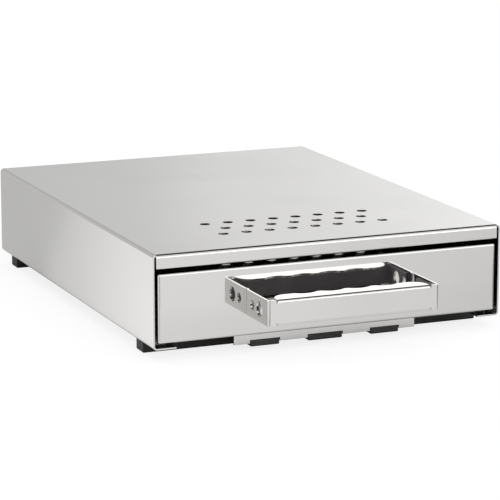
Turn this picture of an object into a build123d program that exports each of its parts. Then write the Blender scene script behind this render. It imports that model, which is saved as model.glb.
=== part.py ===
from build123d import *
import os

# Coffee knock drawer: a folded stainless casing on two foot bars, with a drawer on telescopic runners.
# Lengths are in millimetres. Pieces are drawn with X across from the middle, Y back from the front
# plane of the casing and Z up from the underside of the casing, and are set on the counter at the end.

# Casing
CASE_WIDTH = 300.0
CASE_DEPTH = 390.0
CASE_HEIGHT = 75.5
CASE_SHEET = 1.2
CASE_BEND_INSIDE = 1.8
CASE_FLANGE = 19.0
FASCIA_HEIGHT = 11.5
FASCIA_EDGE = 0.9
FASCIA_SIDE_GAP = 1.6

# Vent holes in the top
VENT_DIAMETER = 8.5
VENT_PITCH = 20.0
VENT_ROW_SPACING = 20.0
VENT_FIRST_ROW = 53.0
VENT_ROWS = 3
VENT_LONG_ROW = 8

# Rear panel and its rubber stops
REAR_INSET = 4.0
REAR_RETURN = 12.0
PANEL_FIT = 0.1
REAR_BEND_INSIDE = 0.8
RIVET_INSET = 12.0
RIVET_RADIUS = 1.6
RIVET_HEAD_RADIUS = 3.2
RIVET_HEAD_HEIGHT = 0.8
BUMPER_RADIUS = 7.0
BUMPER_LENGTH = 12.5
BUMPER_SIDE_INSET = 60.0
BUMPER_EDGE = 2.3
BUMPER_STEM_RADIUS = 2.5
BUMPER_BULB_RADIUS = 3.6
BUMPER_BULB_LENGTH = 2.4

# Stiffeners under the top
STIFFENER_DEPTH = 10.0
STIFFENER_CROWN = 20.0
STIFFENER_FLANGE = 10.0
STIFFENER_SHEET = 1.2
STIFFENER_END_GAP = 6.0
FRONT_STIFFENER_PLACE = 150.0
REAR_STIFFENER_PLACE = 290.0

# Foot bars
FOOT_HEIGHT = 10.5
FOOT_DEPTH = 14.5
FOOT_SIDE_INSET = 4.0
FOOT_EDGE = 0.8
FRONT_FOOT_SETBACK = 34.5
REAR_FOOT_SETBACK = 16.5

# Brackets that carry the runners on the casing's bottom flanges
BRACKET_SHEET = 1.5
BRACKET_BEND_INSIDE = 1.0
BRACKET_WALL_GAP = 1.0
BRACKET_FOOT = 15.0
BRACKET_RISE = 44.0

# Runners
RUNNER_THICKNESS = 12.5
RUNNER_LIFT = 31.0
RUNNER_FRONT_GAP = 4.0
RUNNER_REAR_GAP = 6.0
DRAWER_TRAVEL = 320.0
OUTER_RAIL_HEIGHT = 45.0
OUTER_RAIL_SHEET = 1.2
MIDDLE_RAIL_SHEET = 1.0
INNER_RAIL_SHEET = 1.0
RAIL_BEND = 1.4
RAIL_LIP = 0.9
RAIL_MOUTH_GAP = 1.8
MIDDLE_MOUTH_GAP = 1.2
WEB_GAP = 1.2
INNER_WEB_GAP = 1.7
BALL_DIAMETER = 3.0
BALL_PLAY = 0.15
BALL_PITCH = 22.0
BALL_TO_CAGE_EDGE = 1.0
CAGE_SHEET = 0.5
CAGE_REACH = 7.0
STOP_LENGTH = 4.0
STOP_HALF_HEIGHT = 8.0
STOP_PLAY = 0.15
STOP_GAP = 0.3
RAIL_RIVETS = 3
RAIL_RIVET_END = 30.0
RAIL_RIVET_RADIUS = 2.0
RAIL_RIVET_HEAD_RADIUS = 3.0
RAIL_RIVET_HEAD_HEIGHT = 0.6

# Drawer front
FRONT_SIDE_GAP = 2.6
FRONT_TOP_GAP = 3.8
FRONT_LIFT = 4.5
FRONT_SHEET = 1.2
FRONT_BEND_INSIDE = 0.8
FRONT_RETURN = 14.0
TONGUE_WIDTH = 170.0
TONGUE_BACK = 32.0

# Drawer tray
TRAY_SHEET = 1.0
TRAY_TOP_GAP = 2.0
TRAY_CORNER = 4.0
TRAY_BEND_INSIDE = 2.0
TRAY_HEM = 8.0
STOP_CLEARANCE = 0.3

# Handle
HANDLE_WIDTH = 146.0
HANDLE_REACH = 45.0
HANDLE_HEIGHT = 20.4
HANDLE_LIFT = 22.0
HANDLE_SHEET = 1.5
HANDLE_CORNER_INSIDE = 1.1
HANDLE_TAB = 14.0
HANDLE_TAB_RISE = 11.4
HANDLE_LIP_END = 6.5
HANDLE_LIP_RELIEF = 1.2
HANDLE_LIP_BEND_INSIDE = 0.7
FOLD_OVERLAP = 0.1
HANDLE_LIP_DEPTH = 16.5
HANDLE_LIP_CORNER = 12.0
HANDLE_BASE_LIP = 9.0
FINGERS = 4
FINGER_PITCH = 23.0
FINGER_RADIUS = 15.0
FINGER_BITE = 3.4
FINGER_BLEND = 2.5
SIDE_HOLE_LARGE = 12.0
SIDE_HOLE_LARGE_PLACE = 27.5
SIDE_HOLE_SMALL = 8.0
SIDE_HOLE_SMALL_PLACE = 13.5
LINER_SHEET = 1.0
LINER_END = 9.0
LINER_FIT = 0.1

# Handle screws
HANDLE_WASHER_GAP = 0.2
M5_RADIUS = 2.5
M5_HEAD_RADIUS = 4.25
M5_HEAD_HEIGHT = 2.75
M5_HEAD_EDGE = 1.4
M5_TIP_EDGE = 0.6
M5_SOCKET = 3.0
M5_SOCKET_DEPTH = 1.6
M5_WASHER_RADIUS = 4.7
M5_WASHER = 1.0
M5_NUT_FLATS = 8.0
M5_NUT = 4.0

# Small screws
M4_RADIUS = 2.0
M4_HEAD_RADIUS = 3.5
M4_HEAD_HEIGHT = 2.2
M4_HEAD_EDGE = 1.1
M4_TIP_EDGE = 0.8
M4_NUT_FLATS = 7.0
M4_NUT = 3.0
THREAD_END = 1.5
HOLE_FIT = 0.1
RECESS_LENGTH = 4.2
RECESS_WIDTH = 0.9
RECESS_DEPTH = 1.1
BRACKET_SCREW_INSET = 8.6
BRACKET_SCREW_BELOW = 4.2
BRACKET_SCREW_GAP = 6.5
FOOT_SCREW_INSET = 11.0
FOOT_SCREW_DEPTH = 7.0

# Support bracket and its rubber pads under the drawer front
SUPPORT_WIDTH = 157.5
SUPPORT_SETBACK = 10.0
SUPPORT_DROP = 5.0
SUPPORT_SHEET = 1.5
SUPPORT_BEND_INSIDE = 0.5
PAD_COUNT = 3
PAD_PITCH = 52.2
PAD_WIDTH = 24.4
MIDDLE_PAD_WIDTH = 29.2
PAD_NOTCH_RISE = 2.8
PAD_BELOW = 2.7
PAD_DEPTH = 16.0
PAD_GAP = 0.7
PAD_EDGE = 0.6
PAD_SCREW_DEPTH = 6.0

# Knock bar
BAR_PLACE = 128.0
BAR_LIFT = 38.0
BAR_RADIUS = 6.0
BAR_SLEEVE_RADIUS = 14.0
BAR_SLEEVE_EDGE = 2.0
BAR_BRACKET_GAP = 16.0
BAR_BRACKET_SHEET = 2.5
BAR_BRACKET_BEND_INSIDE = 1.5
BAR_BRACKET_WIDTH = 36.0
BAR_BRACKET_RISE = 44.0
BAR_FOOT_GAP = 0.5
BAR_BRACKET_CORNER = 9.0
BAR_DISC_RADIUS = 12.0
BAR_DISC = 1.6
BAR_DISC_GAP = 0.2
BAR_SCREW_SPREAD = 20.0
M6_RADIUS = 3.0
M6_HEAD_FLATS = 10.0
M6_HEAD_HEIGHT = 4.0
M6_WASHER_RADIUS = 7.0
M6_WASHER = 1.4
M6_DEPTH = 16.0

# Screws that hold the tray to the inner rails
TRAY_SCREWS = 3
TRAY_SCREW_END = 34.0
TRAY_SCREW_TAIL = 1.0

# How far a cut runs past the surface that it opens
PAST = 1.0

# Places that follow from the sizes above
CASE_BEND = CASE_SHEET + CASE_BEND_INSIDE
REAR_BEND = CASE_SHEET + REAR_BEND_INSIDE
BRACKET_BEND = BRACKET_SHEET + BRACKET_BEND_INSIDE
FRONT_BEND = FRONT_SHEET + FRONT_BEND_INSIDE
TRAY_BEND = TRAY_SHEET + TRAY_BEND_INSIDE
HANDLE_CORNER = HANDLE_SHEET + HANDLE_CORNER_INSIDE
HANDLE_LIP_BEND = HANDLE_SHEET + HANDLE_LIP_BEND_INSIDE
SUPPORT_BEND = SUPPORT_SHEET + SUPPORT_BEND_INSIDE
BAR_BRACKET_BEND = BAR_BRACKET_SHEET + BAR_BRACKET_BEND_INSIDE
HALF_WIDTH = CASE_WIDTH / 2
INSIDE_HALF = HALF_WIDTH - CASE_SHEET
FRONT_Y = (HANDLE_REACH - CASE_DEPTH) / 2
FRONT_HALF = INSIDE_HALF - FRONT_SIDE_GAP
FRONT_TOP = CASE_HEIGHT - FASCIA_HEIGHT - FRONT_TOP_GAP
TRAY_TOP = FRONT_TOP - FRONT_SHEET - TRAY_TOP_GAP
REAR_FACE = CASE_DEPTH - REAR_INSET
REAR_INNER = REAR_FACE - CASE_SHEET
BRACKET_FACE = INSIDE_HALF - BRACKET_WALL_GAP - BRACKET_SHEET
BRACKET_TOP = CASE_SHEET + BRACKET_SHEET
TRAY_HALF = BRACKET_FACE - RUNNER_THICKNESS
TRAY_FLOOR = FRONT_LIFT + FRONT_SHEET
TRAY_FLOOR_TOP = TRAY_FLOOR + TRAY_SHEET
TRAY_INNER_HALF = TRAY_HALF - TRAY_SHEET
TRAY_FRONT = FRONT_SHEET
TRAY_BACK = REAR_INNER - BUMPER_LENGTH - STOP_CLEARANCE
RAIL_FRONT = FRONT_RETURN + RUNNER_FRONT_GAP
RAIL_BACK = REAR_FACE - REAR_RETURN - RUNNER_REAR_GAP
RAIL_LENGTH = RAIL_BACK - RAIL_FRONT
MIDDLE_TRAVEL = DRAWER_TRAVEL / 2
RUNNER_OVERLAP = RAIL_LENGTH - MIDDLE_TRAVEL
CAGE_LENGTH = RUNNER_OVERLAP - 2 * (STOP_LENGTH + STOP_GAP)
CAGE_FRONT = RAIL_FRONT + STOP_LENGTH + STOP_GAP + MIDDLE_TRAVEL / 2

# Runner section: half heights, and places across from the middle of the casing
BALL_ROOM = BALL_DIAMETER + 2 * BALL_PLAY
OUTER_HALF = OUTER_RAIL_HEIGHT / 2
MIDDLE_HALF = OUTER_HALF - OUTER_RAIL_SHEET - BALL_ROOM
INNER_HALF = MIDDLE_HALF - MIDDLE_RAIL_SHEET - BALL_ROOM
OUTER_BALL_LINE = MIDDLE_HALF + BALL_ROOM / 2
INNER_BALL_LINE = INNER_HALF + BALL_ROOM / 2
OUTER_WEB = BRACKET_FACE - OUTER_RAIL_SHEET
MIDDLE_WEB = OUTER_WEB - WEB_GAP
MIDDLE_WEB_INNER = MIDDLE_WEB - MIDDLE_RAIL_SHEET
INNER_RAIL_END = MIDDLE_WEB_INNER - INNER_WEB_GAP
OUTER_RAIL_MOUTH = TRAY_HALF + RAIL_MOUTH_GAP
MIDDLE_RAIL_MOUTH = TRAY_HALF + MIDDLE_MOUTH_GAP
OUTER_CAGE_WEB = OUTER_WEB - (WEB_GAP - CAGE_SHEET) / 2
INNER_CAGE_WEB = MIDDLE_WEB_INNER - (INNER_WEB_GAP - CAGE_SHEET) / 2

HANDLE_MIDDLE = HANDLE_LIFT + HANDLE_HEIGHT / 2
HANDLE_TOP = HANDLE_LIFT + HANDLE_HEIGHT
HANDLE_INNER_HALF = HANDLE_WIDTH / 2 - HANDLE_SHEET
HANDLE_TAB_TOP = HANDLE_LIFT + HANDLE_TAB_RISE
HANDLE_SCREW_X = HANDLE_WIDTH / 2 - HANDLE_CORNER - HANDLE_WASHER_GAP - M5_WASHER_RADIUS
HANDLE_SCREW_Z = HANDLE_LIFT + HANDLE_TAB_RISE / 2
HANDLE_LIP_HALF = HANDLE_INNER_HALF - HANDLE_LIP_END

SUPPORT_TOP = FRONT_LIFT
SUPPORT_BOTTOM = -SUPPORT_DROP
PAD_TOP = SUPPORT_TOP - SUPPORT_SHEET
PAD_MIDDLE = SUPPORT_SETBACK + SUPPORT_SHEET + PAD_DEPTH / 2

BAR_BRACKET_FACE = TRAY_INNER_HALF - BAR_BRACKET_GAP - BAR_BRACKET_SHEET
BAR_DISC_FACE = BAR_BRACKET_FACE - BAR_DISC
BAR_SLEEVE_HALF = BAR_DISC_FACE - BAR_DISC_GAP
BAR_FOOT_END = TRAY_INNER_HALF - (TRAY_BEND - TRAY_SHEET) - BAR_FOOT_GAP
BAR_SCREW_X = (BAR_BRACKET_FACE + BAR_BRACKET_BEND + BAR_FOOT_END) / 2


def block(x0, x1, y0, y1, z0, z1):
    """A box between two corners."""
    middle = Pos((x0 + x1) / 2, (y0 + y1) / 2, (z0 + z1) / 2)
    return middle * Box(x1 - x0, y1 - y0, z1 - z0)


def rod_x(radius, x0, x1, y, z):
    """A round bar along X."""
    return Pos((x0 + x1) / 2, y, z) * Rot(0, 90, 0) * Cylinder(radius, x1 - x0)


def rod_y(radius, x, y0, y1, z):
    """A round bar along Y."""
    return Pos(x, (y0 + y1) / 2, z) * Rot(90, 0, 0) * Cylinder(radius, y1 - y0)


def rod_z(radius, x, y, z0, z1):
    """A round bar along Z."""
    return Pos(x, y, (z0 + z1) / 2) * Cylinder(radius, z1 - z0)


def run_along_y(profile, y0, y1):
    """Extrude an X-Z outline back along Y."""
    return Pos(0, y0, 0) * extrude(Plane.XZ * profile, amount=y0 - y1)


def run_along_x(profile, x0, x1):
    """Extrude a Y-Z outline along X."""
    return Pos(x0, 0, 0) * extrude(Plane.YZ * profile, amount=x1 - x0)


def strip(u0, u1, v0, v1):
    """A rectangle between two corners of an outline."""
    return Pos((u0 + u1) / 2, (v0 + v1) / 2) * Rectangle(u1 - u0, v1 - v0)


def other_side(part):
    """The same piece on the left of the casing."""
    return mirror(part, about=Plane.YZ)


def folded_angle(corner, first, second, first_leg, second_leg, sheet, bend, length):
    """A folded angle with its outer corner at the given point, run along first x second."""
    plane = Plane(origin=corner, x_dir=first, z_dir=Vector(*first).cross(Vector(*second)))
    outline = Polyline(
        (0, 0),
        (first_leg, 0),
        (first_leg, sheet),
        (sheet, sheet),
        (sheet, second_leg),
        (0, second_leg),
        (0, 0),
    )
    profile = make_face(outline)
    inner = profile.vertices().sort_by_distance((sheet, sheet, 0))[0]
    profile = fillet(inner, bend - sheet)
    outer = profile.vertices().sort_by_distance((0, 0, 0))[0]
    profile = fillet(outer, bend)
    return extrude(plane * profile, amount=length)


def round_sketch(width, height, radius):
    """A rectangle with four rounded corners."""
    return RectangleRounded(width, height, radius)


def cross_recess(top):
    """The cross slot in a small screw's head."""
    low = top - RECESS_DEPTH
    length = RECESS_LENGTH / 2
    half = RECESS_WIDTH / 2
    return block(-length, length, -half, half, low, top) + block(-half, half, -length, length, low, top)


def small_screw(length):
    """A pan head screw, head up, with the underside of its head at the origin."""
    head = Pos(0, 0, M4_HEAD_HEIGHT / 2) * Cylinder(M4_HEAD_RADIUS, M4_HEAD_HEIGHT)
    rim = head.edges().filter_by(GeomType.CIRCLE).sort_by(Axis.Z)[-1]
    head = fillet(rim, M4_HEAD_EDGE) - cross_recess(M4_HEAD_HEIGHT)
    shank = rod_z(M4_RADIUS, 0, 0, -length, 0)
    tip = shank.edges().filter_by(GeomType.CIRCLE).sort_by(Axis.Z)[0]
    return head + chamfer(tip, M4_TIP_EDGE)


def socket_screw(length):
    """A button head socket screw, head up, with the underside of its head at the origin."""
    head = Pos(0, 0, M5_HEAD_HEIGHT / 2) * Cylinder(M5_HEAD_RADIUS, M5_HEAD_HEIGHT)
    rim = head.edges().filter_by(GeomType.CIRCLE).sort_by(Axis.Z)[-1]
    head = fillet(rim, M5_HEAD_EDGE)
    hexagon = RegularPolygon(M5_SOCKET / 2, 6, major_radius=False)
    socket = extrude(hexagon, amount=M5_SOCKET_DEPTH)
    head = head - Pos(0, 0, M5_HEAD_HEIGHT - M5_SOCKET_DEPTH) * socket
    shank = rod_z(M5_RADIUS, 0, 0, -length, 0)
    tip = shank.edges().filter_by(GeomType.CIRCLE).sort_by(Axis.Z)[0]
    return head + chamfer(tip, M5_TIP_EDGE)


def hex_nut(flats, height, hole_radius):
    """A hexagon nut standing on the origin."""
    outline = RegularPolygon(flats / 2, 6, major_radius=False) - Circle(hole_radius)
    return extrude(outline, amount=height)


def washer(outer_radius, hole_radius, height):
    """A flat washer standing on the origin."""
    return extrude(Circle(outer_radius) - Circle(hole_radius), amount=height)


def casing_section():
    """The casing's rounded section, open between its bottom flanges."""
    outer = round_sketch(CASE_WIDTH, CASE_HEIGHT, CASE_BEND)
    inner_width = CASE_WIDTH - 2 * CASE_SHEET
    inner_height = CASE_HEIGHT - 2 * CASE_SHEET
    inner = round_sketch(inner_width, inner_height, CASE_BEND - CASE_SHEET)
    section = Pos(0, CASE_HEIGHT / 2) * (outer - inner)
    half = HALF_WIDTH - CASE_FLANGE
    return section - strip(-half, half, -CASE_SHEET, 2 * CASE_SHEET)


def vent_holes():
    """Staggered rows of round holes: the even rows hold one fewer."""
    holes = []
    for row in range(VENT_ROWS):
        count = VENT_LONG_ROW - row % 2
        y = VENT_FIRST_ROW + row * VENT_ROW_SPACING
        for place in range(count):
            x = (place - (count - 1) / 2) * VENT_PITCH
            holes.append(rod_z(VENT_DIAMETER / 2, x, y, CASE_HEIGHT - 2 * CASE_SHEET, CASE_HEIGHT + PAST))
    return holes


def corner_places(x, front_y, rear_y):
    """Four places, two on each side."""
    return [(side * x, y) for side in (-1, 1) for y in (front_y, rear_y)]


def bracket_screw_places():
    """The screws whose round ends stand down in front of the foot bars."""
    front_y = FRONT_FOOT_SETBACK - BRACKET_SCREW_GAP
    rear_y = CASE_DEPTH - REAR_FOOT_SETBACK - FOOT_DEPTH - BRACKET_SCREW_GAP
    return corner_places(HALF_WIDTH - BRACKET_SCREW_INSET, front_y, rear_y)


def foot_screw_places():
    """The screws that hold the foot bars."""
    front_y = FRONT_FOOT_SETBACK + FOOT_DEPTH / 2
    rear_y = CASE_DEPTH - REAR_FOOT_SETBACK - FOOT_DEPTH / 2
    return corner_places(HALF_WIDTH - FOOT_SCREW_INSET, front_y, rear_y)


def rear_rivet_places():
    """One rivet on each side, through the bottom flange and the rear panel's return."""
    y = REAR_FACE - REAR_RETURN / 2
    return [(side * (HALF_WIDTH - RIVET_INSET), y) for side in (-1, 1)]


def casing_shell():
    """Top, sides, bottom flanges and fascia, folded from one sheet."""
    shell = run_along_y(casing_section(), 0, CASE_DEPTH)
    half = INSIDE_HALF - FASCIA_SIDE_GAP
    shell = shell - block(-half, half, -PAST, CASE_BEND, CASE_HEIGHT - CASE_BEND, CASE_HEIGHT + PAST)
    fascia = folded_angle(
        (half, 0, CASE_HEIGHT),
        (0, 1, 0),
        (0, 0, -1),
        CASE_BEND,
        FASCIA_HEIGHT,
        CASE_SHEET,
        CASE_BEND,
        2 * half,
    )
    lower_edge = fascia.edges().filter_by(Axis.X).sort_by_distance((0, 0, CASE_HEIGHT - FASCIA_HEIGHT))[0]
    shell = shell + fillet(lower_edge, FASCIA_EDGE) - vent_holes()
    for x, y in bracket_screw_places() + foot_screw_places():
        shell = shell - rod_z(M4_RADIUS + HOLE_FIT, x, y, -PAST, CASE_SHEET + PAST)
    for x, y in rear_rivet_places():
        shell = shell - rod_z(RIVET_RADIUS, x, y, -PAST, CASE_SHEET + PAST)
    return shell


def rear_panel():
    """A folded panel set inside the casing's back, with its returns pointing forward."""
    width = 2 * (INSIDE_HALF - PANEL_FIT)
    height = CASE_HEIGHT - 2 * (CASE_SHEET + PANEL_FIT)
    corner = CASE_BEND - CASE_SHEET
    middle = Pos(0, CASE_HEIGHT / 2)
    outer = run_along_y(middle * round_sketch(width, height, corner), REAR_FACE - REAR_RETURN, REAR_FACE)
    rim = outer.faces().sort_by(Axis.Y)[-1].edges()
    outer = fillet(rim, REAR_BEND - CASE_SHEET)
    inner_width = width - 2 * CASE_SHEET
    inner_height = height - 2 * CASE_SHEET
    inner_outline = middle * round_sketch(inner_width, inner_height, corner / 2)
    panel = outer - run_along_y(inner_outline, REAR_FACE - REAR_RETURN - PAST, REAR_INNER)
    for x in bumper_places():
        panel = panel - rod_y(BUMPER_STEM_RADIUS, x, REAR_INNER - PAST, REAR_FACE + PAST, RUNNER_LIFT)
    for x, y in rear_rivet_places():
        panel = panel - rod_z(RIVET_RADIUS, x, y, 0, 3 * CASE_SHEET)
    return panel


def rear_panel_rivets():
    """Blind rivets, with a head below the flange and a tail above the return."""
    rivets = []
    top = 2 * CASE_SHEET + PANEL_FIT
    for x, y in rear_rivet_places():
        shank = rod_z(RIVET_RADIUS, x, y, 0, top)
        head = rod_z(RIVET_HEAD_RADIUS, x, y, -RIVET_HEAD_HEIGHT, 0)
        tail = rod_z(RIVET_HEAD_RADIUS, x, y, top, top + RIVET_HEAD_HEIGHT)
        rivets.append(head + shank + tail)
    return Compound(rivets)


def bumper_places():
    """Places of the rubber stops across the rear panel."""
    x = HALF_WIDTH - BUMPER_SIDE_INSET
    return [-x, x]


def rear_bumpers():
    """Push-in rubber stops that the tray's back wall closes against."""
    bumpers = []
    for x in bumper_places():
        body = rod_y(BUMPER_RADIUS, x, REAR_INNER - BUMPER_LENGTH, REAR_INNER, RUNNER_LIFT)
        nose = body.edges().filter_by(GeomType.CIRCLE).sort_by(Axis.Y)[0]
        body = fillet(nose, BUMPER_EDGE)
        stem = rod_y(BUMPER_STEM_RADIUS, x, REAR_INNER, REAR_FACE, RUNNER_LIFT)
        bulb = rod_y(BUMPER_BULB_RADIUS, x, REAR_FACE, REAR_FACE + BUMPER_BULB_LENGTH, RUNNER_LIFT)
        bumpers.append(body + stem + bulb)
    return Compound(bumpers)


def top_stiffener(y):
    """A hat section across the underside of the top."""
    under = CASE_HEIGHT - CASE_SHEET
    low = under - STIFFENER_DEPTH
    half = STIFFENER_CROWN / 2
    sheet = STIFFENER_SHEET
    profile = strip(y - half, y + half, low, low + sheet)
    for side in (-1, 1):
        web = sorted((y + side * half, y + side * (half - sheet)))
        wing = sorted((y + side * (half - sheet), y + side * (half + STIFFENER_FLANGE)))
        profile = profile + strip(web[0], web[1], low, under)
        profile = profile + strip(wing[0], wing[1], under - sheet, under)
    end = HALF_WIDTH - CASE_BEND - STIFFENER_END_GAP
    return run_along_x(profile, -end, end)


def foot_bar(front_y):
    """A black bar across the casing, screwed up against the bottom flanges."""
    half = HALF_WIDTH - FOOT_SIDE_INSET
    bar = block(-half, half, front_y, front_y + FOOT_DEPTH, -FOOT_HEIGHT, 0)
    bar = chamfer(bar.edges().group_by(Axis.Z)[0], FOOT_EDGE)
    for x, y in foot_screw_places():
        bar = bar - rod_z(M4_RADIUS + HOLE_FIT, x, y, -FOOT_SCREW_DEPTH - HOLE_FIT, PAST)
    return bar


def slide_bracket():
    """The right angle bracket: one leg on the bottom flange, one against the outer rail."""
    corner_x = BRACKET_FACE + BRACKET_SHEET
    bracket = folded_angle(
        (corner_x, RAIL_FRONT, CASE_SHEET),
        (0, 0, 1),
        (-1, 0, 0),
        BRACKET_RISE,
        BRACKET_FOOT,
        BRACKET_SHEET,
        BRACKET_BEND,
        -RAIL_LENGTH,
    )
    for x, y in bracket_screw_places() + foot_screw_places():
        bracket = bracket - rod_z(M4_RADIUS + HOLE_FIT, x, y, 0, BRACKET_TOP + PAST)
    for y in rail_rivet_places():
        bracket = bracket - rod_x(RAIL_RIVET_RADIUS, BRACKET_FACE - PAST, corner_x + PAST, y, RUNNER_LIFT)
    return bracket


def screws_down(places, length):
    """Screws with their heads on the brackets."""
    return Compound([Pos(x, y, BRACKET_TOP) * small_screw(length) for x, y in places])


def channel(height, sheet, web_face, mouth, y0, y1):
    """A rail open towards the tray, with small lips turned in at its mouth."""
    width = web_face - mouth
    middle = Pos((web_face + mouth) / 2, RUNNER_LIFT)
    outline = middle * Rectangle(width, height)
    corners = outline.vertices().group_by(Axis.X)[-1]
    outline = fillet(corners, RAIL_BEND)
    hollow = middle * Pos(-sheet, 0) * Rectangle(width, height - 2 * sheet)
    return run_along_y(outline - hollow, y0, y1)


def rail_rivet_places():
    """Evenly spaced along the outer rail."""
    first = RAIL_FRONT + RAIL_RIVET_END
    step = (RAIL_LENGTH - 2 * RAIL_RIVET_END) / (RAIL_RIVETS - 1)
    return [first + place * step for place in range(RAIL_RIVETS)]


def outer_rail():
    """The rail riveted to the bracket, with a stop for the outer ball cage at its front."""
    height = OUTER_RAIL_HEIGHT
    rail = channel(height, OUTER_RAIL_SHEET, BRACKET_FACE, OUTER_RAIL_MOUTH, RAIL_FRONT, RAIL_BACK)
    lip_end = OUTER_RAIL_MOUTH + OUTER_RAIL_SHEET
    inside = OUTER_HALF - OUTER_RAIL_SHEET
    for side in (-1, 1):
        edge = sorted((RUNNER_LIFT + side * (inside - RAIL_LIP), RUNNER_LIFT + side * OUTER_HALF))
        rail = rail + block(OUTER_RAIL_MOUTH, lip_end, RAIL_FRONT, RAIL_BACK, edge[0], edge[1])
    tab_x = MIDDLE_WEB + STOP_PLAY
    rail = rail + block(
        tab_x,
        OUTER_WEB,
        RAIL_FRONT,
        RAIL_FRONT + STOP_LENGTH,
        RUNNER_LIFT - STOP_HALF_HEIGHT,
        RUNNER_LIFT + STOP_HALF_HEIGHT,
    )
    for y in rail_rivet_places():
        cone = Pos(OUTER_WEB + OUTER_RAIL_SHEET / 2, y, RUNNER_LIFT) * Rot(0, 90, 0)
        cone = cone * Cone(RAIL_RIVET_HEAD_RADIUS, RAIL_RIVET_RADIUS, OUTER_RAIL_SHEET)
        rail = rail - cone
    return rail


def rail_rivets():
    """Flush rivets from the outer rail through the bracket, three on each side."""
    rivets = []
    end = BRACKET_FACE + BRACKET_SHEET
    for y in rail_rivet_places():
        cone = Pos(OUTER_WEB + OUTER_RAIL_SHEET / 2, y, RUNNER_LIFT) * Rot(0, 90, 0)
        head = cone * Cone(RAIL_RIVET_HEAD_RADIUS, RAIL_RIVET_RADIUS, OUTER_RAIL_SHEET)
        shank = rod_x(RAIL_RIVET_RADIUS, BRACKET_FACE, end, y, RUNNER_LIFT)
        tail = rod_x(RAIL_RIVET_HEAD_RADIUS, end, end + RAIL_RIVET_HEAD_HEIGHT, y, RUNNER_LIFT)
        rivets.append(head + shank + tail)
    return Compound(rivets + [other_side(rivet) for rivet in rivets])


def middle_rail():
    """The rail that comes out half as far as the drawer, with a stop for each ball cage."""
    height = 2 * MIDDLE_HALF
    rail = channel(height, MIDDLE_RAIL_SHEET, MIDDLE_WEB, MIDDLE_RAIL_MOUTH, RAIL_FRONT, RAIL_BACK)
    lip_end = MIDDLE_RAIL_MOUTH + MIDDLE_RAIL_SHEET
    inside = MIDDLE_HALF - MIDDLE_RAIL_SHEET
    for side in (-1, 1):
        edge = sorted((RUNNER_LIFT + side * inside, RUNNER_LIFT + side * (MIDDLE_HALF + RAIL_LIP)))
        rail = rail + block(MIDDLE_RAIL_MOUTH, lip_end, RAIL_FRONT, RAIL_BACK, edge[0], edge[1])
    low = RUNNER_LIFT - STOP_HALF_HEIGHT
    high = RUNNER_LIFT + STOP_HALF_HEIGHT
    rear_tab = block(MIDDLE_WEB, OUTER_WEB - STOP_PLAY, RAIL_BACK - STOP_LENGTH, RAIL_BACK, low, high)
    front_tab_x = INNER_RAIL_END + STOP_PLAY
    front_tab = block(front_tab_x, MIDDLE_WEB_INNER, RAIL_FRONT, RAIL_FRONT + STOP_LENGTH, low, high)
    return rail + rear_tab + front_tab


def inner_rail():
    """The rail screwed to the tray, open towards the casing, with stops at its back."""
    width = INNER_RAIL_END - TRAY_HALF
    middle = Pos((INNER_RAIL_END + TRAY_HALF) / 2, RUNNER_LIFT)
    outline = middle * Rectangle(width, 2 * INNER_HALF)
    outline = fillet(outline.vertices().group_by(Axis.X)[0], RAIL_BEND)
    hollow = middle * Pos(INNER_RAIL_SHEET, 0) * Rectangle(width, 2 * (INNER_HALF - INNER_RAIL_SHEET))
    rail = run_along_y(outline - hollow, RAIL_FRONT, RAIL_BACK)
    stop_x = MIDDLE_WEB_INNER - STOP_GAP
    lip_start = INNER_RAIL_END - INNER_RAIL_SHEET
    inside = INNER_HALF - INNER_RAIL_SHEET
    for side in (-1, 1):
        lip = sorted((RUNNER_LIFT + side * inside, RUNNER_LIFT + side * (INNER_HALF + RAIL_LIP)))
        rail = rail + block(lip_start, INNER_RAIL_END, RAIL_FRONT, RAIL_BACK, lip[0], lip[1])
        leg = sorted((RUNNER_LIFT + side * inside, RUNNER_LIFT + side * INNER_HALF))
        rail = rail + block(lip_start, stop_x, RAIL_BACK - STOP_LENGTH, RAIL_BACK, leg[0], leg[1])
    hole_end = TRAY_HALF + 2 * INNER_RAIL_SHEET
    for y in tray_screw_places():
        rail = rail - rod_x(M4_RADIUS + HOLE_FIT, TRAY_HALF - PAST, hole_end, y, RUNNER_LIFT)
    return rail


def ball_places():
    """Places of the balls along a cage."""
    count = int((CAGE_LENGTH - BALL_PITCH / 2) // BALL_PITCH) + 1
    first = CAGE_FRONT + (CAGE_LENGTH - (count - 1) * BALL_PITCH) / 2
    return [first + place * BALL_PITCH for place in range(count)]


def ball_cage(web, line):
    """A strip folded round the web gap, with a hole for each ball."""
    back = CAGE_FRONT + CAGE_LENGTH
    low = RUNNER_LIFT - line - CAGE_SHEET / 2
    high = RUNNER_LIFT + line + CAGE_SHEET / 2
    cage = block(web - CAGE_SHEET, web, CAGE_FRONT, back, low, high)
    cage = cage + block(web - CAGE_REACH, web, CAGE_FRONT, back, low, low + CAGE_SHEET)
    cage = cage + block(web - CAGE_REACH, web, CAGE_FRONT, back, high - CAGE_SHEET, high)
    hole = BALL_DIAMETER / 2 + BALL_PLAY
    holes = [rod_z(hole, ball_line_x(web), y, low - PAST, high + PAST) for y in ball_places()]
    return cage - holes


def ball_line_x(web):
    """The balls run near the open edge of their cage."""
    return web - CAGE_REACH + BALL_DIAMETER / 2 + BALL_TO_CAGE_EDGE


def cage_balls(web, line):
    """Two rows of balls, above and below."""
    ball = Sphere(BALL_DIAMETER / 2)
    heights = (RUNNER_LIFT - line, RUNNER_LIFT + line)
    return Compound([Pos(ball_line_x(web), y, z) * ball for y in ball_places() for z in heights])


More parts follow.
